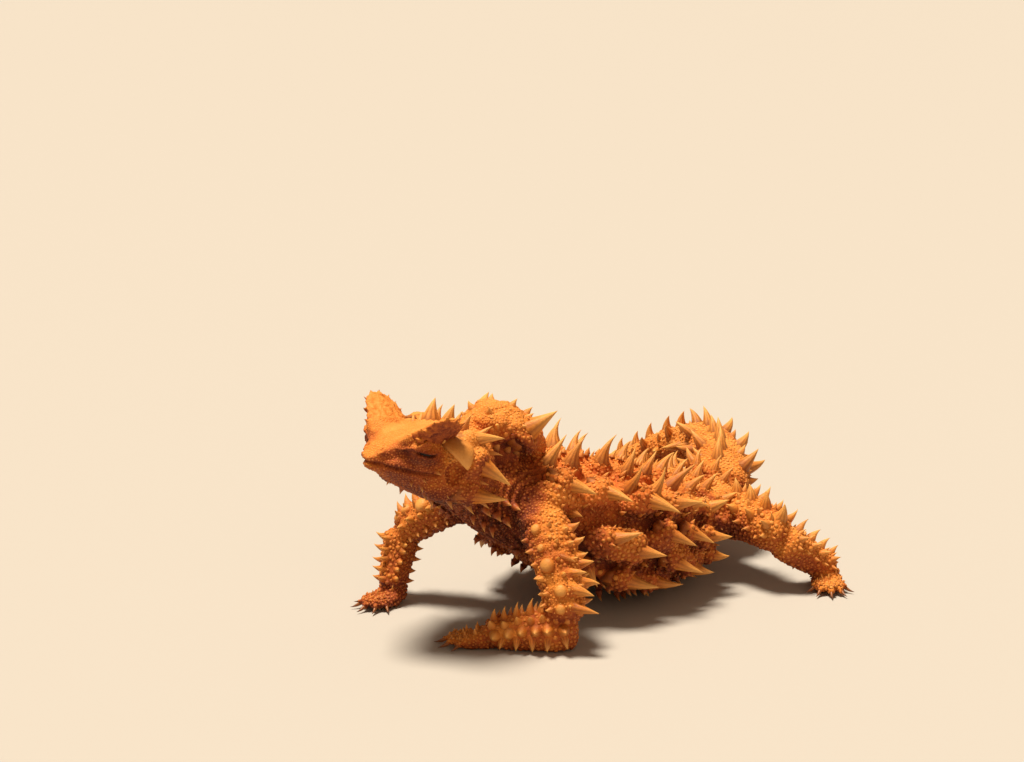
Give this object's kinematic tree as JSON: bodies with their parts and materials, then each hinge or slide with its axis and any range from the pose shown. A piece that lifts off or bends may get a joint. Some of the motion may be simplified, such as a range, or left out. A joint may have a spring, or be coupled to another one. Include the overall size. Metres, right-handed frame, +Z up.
{
  "type": "thorny devil lizard model",
  "caption": "Life-size still model of a thorny devil: a low, spiny desert lizard propped on its front legs, head raised and tail curled to one side.",
  "frame": {"origin": "on the floor, under the middle of the whole model's box", "axes": "+X the way the body faces, +Y to the animal's left, +Z up"},
  "size_m": [0.106, 0.093, 0.0433],
  "materials": {
    "skin": "dry, granular and dusted with red sand",
    "horn": "matt keratin",
    "eye": "moist and dark"
  },
  "bodies": {
    "root": {"head": "skin", "jaw": "skin", "eye_left": "eye", "eye_right": "eye", "horn_brow_left": "horn", "horn_brow_right": "horn", "neck": "skin", "hump_nape": "skin", "torso": "skin", "arm_upper_left": "skin", "arm_lower_left": "skin", "hand_left": "skin", "arm_upper_right": "skin", "arm_lower_right": "skin", "hand_right": "skin", "leg_upper_left": "skin", "leg_lower_left": "skin", "foot_left": "skin", "leg_upper_right": "skin", "leg_lower_right": "skin", "foot_right": "skin", "tail_base": "skin", "tail_middle": "skin", "tail_tip": "skin"}
  },
  "joints": []
}
